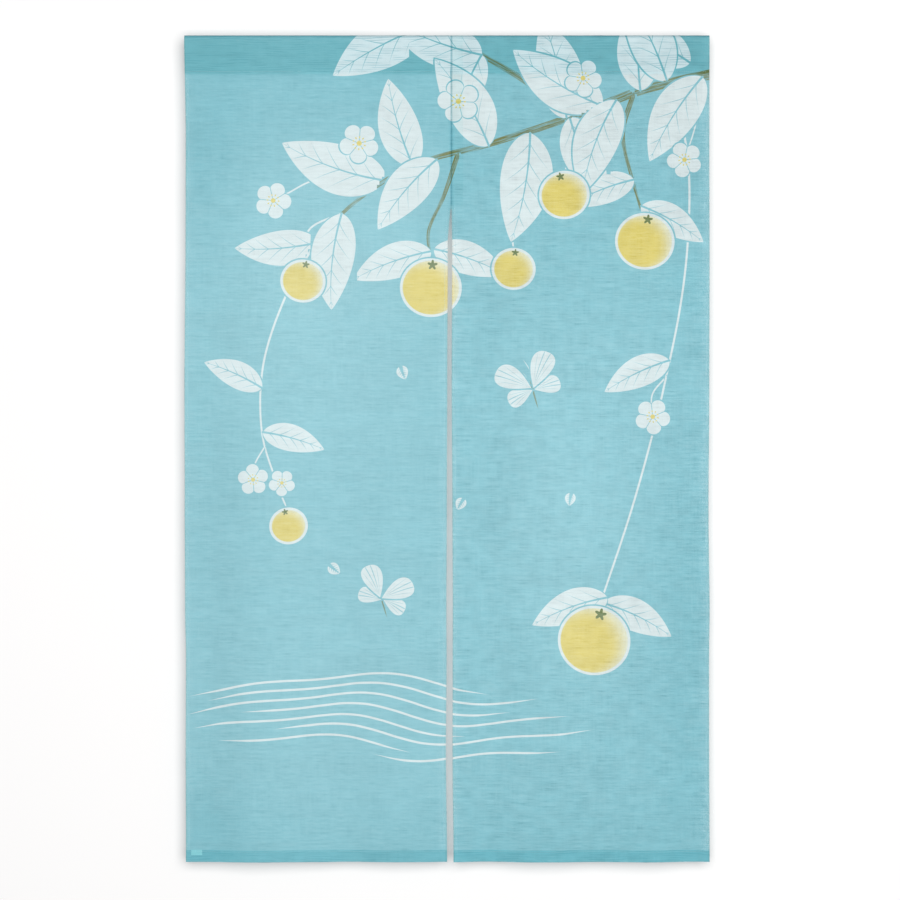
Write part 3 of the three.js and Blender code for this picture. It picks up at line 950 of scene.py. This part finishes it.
dyeAndPaintedLight = {
    "ground": (0.231, 0.55, 0.631, 1.0),
    "bare": (0.712, 0.822, 0.836, 1.0),
    "yellow": (0.735, 0.63, 0.16, 1.0),
    "paleYellow": (0.77, 0.805, 0.63, 1.0),
    "deepYellow": (0.7, 0.52, 0.08, 1.0),
    "bark": (0.175, 0.2, 0.055, 1.0),
    "calyx": (0.15, 0.21, 0.07, 1.0),
    "patch": (0.29, 0.73, 0.79, 1.0),
    # tints of the sewn bands, which multiply the colours above; in the heading, the foot hem and the
    # turned strip they are painted shade, as less light comes through two layers
    "heading": (0.74, 0.885, 0.88, 1.0),
    "headingBare": (0.925, 1.0, 1.03, 1.0),
    "foot": (0.74, 0.93, 0.945, 1.0),
    "selvedge": (0.97, 0.93, 0.9, 1.0),
    # painted shade in the seam's groove, also used for the painted shadow under the label
    "seam": (0.55, 0.72, 0.76, 1.0),
    "stripShade": (0.91, 0.975, 0.975, 1.0),
    # painted shade along the top fold, where the cloth turns away from the light
    "fold": (0.8, 0.88, 0.9, 1.0),
    # darker lines where the wefts of two layers lie one behind the other
    "beat": (0.66, 0.79, 0.82, 1.0),
    "beatStep": 0.0042,
    "beatWander": 14.0,
    "beatOnDye": 0.55,
    "bareFrom": (0.25, 0.65),  # redness of dyed cloth and of bare cloth
    "sheenAndPaleDyeMix": 0.2,  # how far the palest dye and the painted sheen go towards the bare cloth
    # how far the painted sheen and paler dye lift the tone, and the painted shade and darker dye lower it
    "sheenAndPaleDyeTone": 0.05,
    "shadeAndDarkDyeTone": 0.2,
    "slubPale": 0.07,  # how much less a thick thread pales
    "roughness": 0.88,
    "shine": 0.25,
    "reliefStrength": 0.35,
    "reliefDepth": 0.0003,
    "cover": 0.89,  # how far one layer hides what is behind it
    "gapCover": 0.73,  # the same between the threads
    "slubCover": 0.095,  # how much more a thick thread hides
}


def attribute(tree, name, output="Vector"):
    return Field(addNode(tree, "ShaderNodeAttribute", {"attribute_name": name}).outputs[output])


# The print's colours laid over one another, from the thin lines up to the fruit.
def printColour(tree):
    leafGroup, strokeGroup = makeLeafGroup(), makeStrokeGroup()
    ground, bare = dyeAndPaintedLight["ground"], dyeAndPaintedLight["bare"]
    lines = useGroup(tree, strokeGroup, {"Stroke": attribute(tree, "line")})
    colour = blendColour(lines["Line"], ground, bare)
    bark = useGroup(tree, strokeGroup, {"Stroke": attribute(tree, "branch")})
    dryBrush = between(bark["Grain"], 0.35, 0.75, 0.0, 0.8)
    colour = blendColour(bark["Line"], colour, blendColour(dryBrush, dyeAndPaintedLight["bark"], ground))
    for name in ("backLeaf", "frontLeaf"):
        shape = useGroup(tree, leafGroup, {"Leaf": attribute(tree, name)})
        for mask, tint in (("Around", ground), ("Body", bare), ("Vein", ground)):
            colour = blendColour(shape[mask], colour, tint)
    flower = useGroup(tree, makeBlossomGroup(), {"Blossom": attribute(tree, "blossom")})
    for mask, tint in (("Around", ground), ("Petal", bare), ("Line", ground), ("Centre", dyeAndPaintedLight["yellow"])):
        colour = blendColour(flower[mask], colour, tint)
    ball = useGroup(tree, makeFruitGroup(), {"Fruit": attribute(tree, "fruit")})
    skin = blendColour(ball["Pale"], dyeAndPaintedLight["yellow"], dyeAndPaintedLight["paleYellow"])
    skin = blendColour(ball["Pore"] * 0.35, skin, dyeAndPaintedLight["deepYellow"])
    for mask, tint in (("Around", ground), ("Rim", bare), ("Body", skin), ("Calyx", dyeAndPaintedLight["calyx"])):
        colour = blendColour(ball[mask], colour, tint)
    return colour


# Lines down the doubled cloth: the sine of a wandering phase, here and there.
def beatLines(place, bands):
    turns = parts(place)[1] * (2.0 * math.pi / dyeAndPaintedLight["beatStep"])
    phase = turns + streaks(place, 9.0, 30.0) * dyeAndPaintedLight["beatWander"]
    lines = between(sine(phase), -0.2, 1.0, 0.0, 1.0) * rise(streaks(place, 20.0, 90.0), 0.42, 0.62)
    return lines * larger(bands["Heading"], bands["Foot"])


def makeClothMaterial():
    material, tree, surface = newMaterial("printedCloth", dyeAndPaintedLight["ground"], dyeAndPaintedLight["roughness"], dyeAndPaintedLight["shine"])
    place, edge = (Field(addNode(tree, "ShaderNodeUVMap", {"uv_map": name}).outputs[0])
                   for name in ("clothMap", "edgeMap"))
    colour = printColour(tree)
    threads = useGroup(tree, makeWeaveGroup(), {"Cloth": place})
    bands = useGroup(tree, makeHemGroup(), {"Cloth": place, "Edge": edge})
    bareness = between(parts(colour)[0], *dyeAndPaintedLight["bareFrom"], 0.0, 1.0)
    beat = beatLines(place, bands) * between(bareness, 0.0, 1.0, dyeAndPaintedLight["beatOnDye"], 1.0)
    # the layer behind darkens the dyed ground with painted shade, as less light comes through two layers,
    # and tints the bare print
    heading = blendColour(bareness, dyeAndPaintedLight["heading"], dyeAndPaintedLight["headingBare"])
    patch = useGroup(tree, makePatchGroup(), {"Cloth": place})
    # multiplied in: the beat lines, painted shade in the doubled bands, in the seam's groove and along the
    # top fold, and the selvedge
    for mask, tint in ((beat, dyeAndPaintedLight["beat"]), (bands["Heading"], heading), (bands["Foot"], dyeAndPaintedLight["foot"]),
                       (bands["Selvedge"], dyeAndPaintedLight["selvedge"]), (bands["Seam"], dyeAndPaintedLight["seam"]),
                       (bands["Strip"], dyeAndPaintedLight["stripShade"]), (bands["FoldShade"], dyeAndPaintedLight["fold"])):
        colour = blendColour(mask, colour, tint, "MULTIPLY")
    colour = blendColour(patch["Patch"] * label["showsThrough"], colour, dyeAndPaintedLight["patch"])
    colour = blendColour(patch["Under"], colour, dyeAndPaintedLight["seam"], "MULTIPLY")
    # painted sheen and painted shade across the cloth, with the dye's paler and darker places: towards the
    # bare cloth above 0, darker below
    dyeSheenShade = attribute(tree, "dyeSheenShade", "Fac") - threads["Slub"] * dyeAndPaintedLight["slubPale"]
    colour = blendColour(between(dyeSheenShade, 0.0, 1.0, 0.0, dyeAndPaintedLight["sheenAndPaleDyeMix"]), colour, dyeAndPaintedLight["bare"])
    tone = threads["Tone"] * between(dyeSheenShade, -1.0, 1.0, 1.0 - dyeAndPaintedLight["shadeAndDarkDyeTone"], 1.0 + dyeAndPaintedLight["sheenAndPaleDyeTone"])
    grey = addNode(tree, "ShaderNodeCombineColor", {}, {0: tone, 1: tone, 2: tone})
    feed(surface.inputs["Base Color"], blendColour(1.0, colour, Field(grey.outputs[0]), "MULTIPLY"))
    cover = between(threads["Gap"], 0.0, 1.0, dyeAndPaintedLight["cover"], dyeAndPaintedLight["gapCover"])
    feed(surface.inputs["Alpha"], calc("ADD", cover, threads["Slub"] * dyeAndPaintedLight["slubCover"], clamp=True))
    relief = addNode(tree, "ShaderNodeBump", {}, {"Height": threads["Height"],
                     "Strength": dyeAndPaintedLight["reliefStrength"], "Distance": dyeAndPaintedLight["reliefDepth"]})
    feed(surface.inputs["Normal"], Field(relief.outputs[0]))
    # each layer counts once: its far side is passed from within
    showSurface(tree, surface, 1.0 - Field(addNode(tree, "ShaderNodeNewGeometry").outputs["Backfacing"]))
    return material


# One closed sheet of a panel with its flat places, the distances from its outer and slit edges, and
# the extra thickness of its side hems.
def panelSheet(panel, path, share, inset, thickness, extra, behind=0.0):
    points, fromLeft, fromRight = clothGrid(panel, path, share, inset)
    points = points - gridNormals(points) * behind
    part = closedSheet(points, thickness, extra)
    flatDown = np.broadcast_to(path[:, 0], fromLeft.shape)
    outer, slit = (fromLeft, fromRight) if panel["slit"] == panel["right"] else (fromRight, fromLeft)
    source = part.pop("source")
    part["clothMap"] = np.stack([points[..., 0], -flatDown], -1).reshape(-1, 2)[source]
    part["edgeMap"] = np.stack([outer, slit], -1).reshape(-1, 2)[source]
    return part


# The left panel's cloth turned behind the seam and pressed to the right: one length round the inside
# of the pocket and one from under its stitch line to just past the end of the seam.
def seamStrips(panel, path):
    stops = np.array([-0.004, -0.002, -0.001, 0.0, 0.001, 0.002, 0.004, cloth["seamAllowance"]])
    level = path[:, 1]
    inPocket = path[level < cloth["pocketDrop"] - cloth["stripInPocket"]]
    below = path[(level > cloth["pocketDrop"] + cloth["stripBelow"])
                 & (level < cloth["seamDrop"] + cloth["stripPastSeam"])]
    strips = []
    for length in (inPocket, below):
        part = panelSheet(panel, length, np.ones(len(stops)), stops, cloth["stripThickness"], 0.0,
                          behind=cloth["stripBehind"])
        part["edgeMap"] = np.full_like(part["edgeMap"], cloth["stripEdge"])
        strips.append(part)
    return strips


def makePanel(panel, material, stitches):
    path = clothPath()
    share, inset = acrossStops()
    _, level, hangs, _, behind = path.T
    width = edgeAt(panel["right"], level) - edgeAt(panel["left"], level)
    fromEdge = np.minimum(width[None] * share[:, None] + inset[:, None],
                          width[None] * (1 - share)[:, None] - inset[:, None])
    start, full, wane, end = cloth["sideHemRows"]
    single = ease(level, start, full) * (1 - ease(level, wane, end)) * (behind == 0) * hangs
    inHem = 1 - ease(fromEdge, cloth["sideHem"] - 0.0001, cloth["sideHem"] + 0.0004)
    extra = cloth["sideHemExtra"] * inHem * single
    sheet = panelSheet(panel, path, share, inset, cloth["thickness"], extra)
    if panel["slit"] == panel["right"]:
        sheet = joinSheets([sheet] + seamStrips(panel, path))
    place = sheet["clothMap"]
    piece = meshObject(panel["name"], sheet["vertices"], sheet["quads"],
                       {"clothMap": place, "edgeMap": sheet["edgeMap"]},
                       {"dyeSheenShade": dyeSheenShadeAt(panel, place[:, 0], -place[:, 1])},
                       printLayers(place, sheet["quads"]), material)
    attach(piece, "root")
    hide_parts(panel["node"])
    print(panel["name"], len(sheet["quads"]) * 2, "triangles")
    return piece


stitch = {"pitch": 0.0034, "length": 0.0025, "radius": 0.00017, "fromEdge": 0.0055, "lean": 0.00008,
          "leanTurn": 2.4, "rowInset": 0.002, "inHem": 0.0012,
          # where the side rows start, below the seam and below the pocket, and stop above the hem
          "belowSeam": 0.004, "belowPocket": 0.014, "aboveHem": 0.004, "sideStep": 0.034,
          "colour": (0.46, 0.68, 0.71, 1.0), "roughness": 0.7}


# Small spindles between pairs of points: a ring of four a fifth of the way in from each end, and a
# point at both ends, so sixteen faces each.
def spindles(starts, ends, radius):
    along = ends - starts
    direction = along / np.linalg.norm(along, axis=1, keepdims=True)
    out = np.cross(direction, [0.0, 1.0, 0.0])
    out /= np.linalg.norm(out, axis=1, keepdims=True)
    up = np.cross(out, direction)
    rings = [starts + along * share + side * radius * scale
             for share in (0.18, 0.82) for side, scale in ((out, 1), (up, 0.8), (out, -1), (up, -0.8))]
    vertices = np.stack([starts] + rings + [ends], 1).reshape(-1, 3)
    tip = [(0, 1 + k, 1 + (k + 1) % 4) for k in range(4)] + [(9, 5 + (k + 1) % 4, 5 + k) for k in range(4)]
    belt = [(1 + k, 5 + k, 5 + (k + 1) % 4, 1 + (k + 1) % 4) for k in range(4)]
    belt = [(a, b, c) for a, b, c, d in belt] + [(a, c, d) for a, b, c, d in belt]
    first = np.arange(len(starts))[:, None, None] * 10
    return vertices, (np.array(tip + belt)[None] + first).reshape(-1, 3)


# A row of running stitches on one side of a panel: the row's two ends (across, down), then how far
# in front of (negative) or behind the sheet's middle layer the thread lies.
def stitchRow(panel, start, end, behind):
    start, end = np.array(start), np.array(end)
    reach = np.linalg.norm(end - start)
    count = int(reach / stitch["pitch"])
    centre = start + (end - start) * ((np.arange(count) + 0.5) / count)[:, None]
    along = (end - start) / reach
    lean = stitch["lean"] * np.sin(np.arange(count) * stitch["leanTurn"])[:, None]
    lean = lean * np.array([along[1], -along[0]])
    half = along * stitch["length"] / 2
    ends = []
    for place in (centre - half + lean, centre + half - lean):
        across, down = place.T
        ends.append(np.stack([across, depthAt(panel, across, down) + behind, -down], -1))
    return ends


# A side row follows its edge, so it goes in short lengths.
def sideRows(panel, column, inward, top, bottom, behind):
    levels = np.arange(top, bottom, stitch["sideStep"])
    across = edgeAt(column, levels) + inward
    return [stitchRow(panel, (across[k], levels[k]), (across[k + 1], levels[k + 1]), behind)
            for k in range(len(levels) - 1)]


def makeStitches(panel, material):
    half, step, inset = cloth["thickness"] / 2, cloth["layerStep"], stitch["fromEdge"]
    lift = half + stitch["radius"] * 0.45
    rows = []
    hemTop = cloth["drop"] - cloth["hemDrop"]
    for down in (cloth["pocketDrop"], hemTop + stitch["inHem"]):
        left = edgeAt(panel["left"], np.array(down)) + stitch["rowInset"]
        right = edgeAt(panel["right"], np.array(down)) - stitch["rowInset"]
        rows += [stitchRow(panel, (left, down), (right, down), -lift),
                 stitchRow(panel, (left, down), (right, down), step + lift)]
    for column, inward in ((panel["left"], inset), (panel["right"], -inset)):
        top = cloth["pocketDrop"] + stitch["belowPocket"]
        if column == panel["slit"]:
            top = cloth["seamDrop"] + stitch["belowSeam"]
        for behind in (-lift, lift + cloth["sideHemExtra"]):
            rows += sideRows(panel, column, inward, top, hemTop - stitch["aboveHem"], behind)
    vertices, faces = spindles(np.concatenate([r[0] for r in rows]), np.concatenate([r[1] for r in rows]),
                               stitch["radius"])
    piece = meshObject(panel["name"] + "Stitches", vertices, faces, material=material)
    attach(piece, "root")
    print(piece.name, len(faces), "triangles")
    return piece


# The woven label behind the left panel's hem: a small closed sheet that follows the cloth.
def makeLabel(panel, material):
    x, d = label["across"], label["down"]
    across = np.linspace(x - label["width"] / 2, x + label["width"] / 2, 13)
    down = np.linspace(d, d + label["drop"], 7)
    across, down = np.meshgrid(across, down, indexing="ij")
    curl = label["curl"] * np.sin((across - x) / label["width"] * 5.0)
    points = np.stack([across, depthAt(panel, across, down) + label["behind"] + np.abs(curl), -down], -1)
    part = closedSheet(points, label["thickness"])
    piece = meshObject("hemLabelTape", part["vertices"], part["quads"], material=material)
    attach(piece, "root")
    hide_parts("hem_label")
    return piece


clothMaterial = makeClothMaterial()
threadMaterial = newMaterial("sewingThread", stitch["colour"], stitch["roughness"], 0.3)[0]
labelMaterial = newMaterial("labelTape", label["colour"], label["roughness"], 0.3)[0]
makeLabel(panels[0], labelMaterial)
for panel in panels:
    makePanel(panel, clothMaterial, makeStitches(panel, threadMaterial))
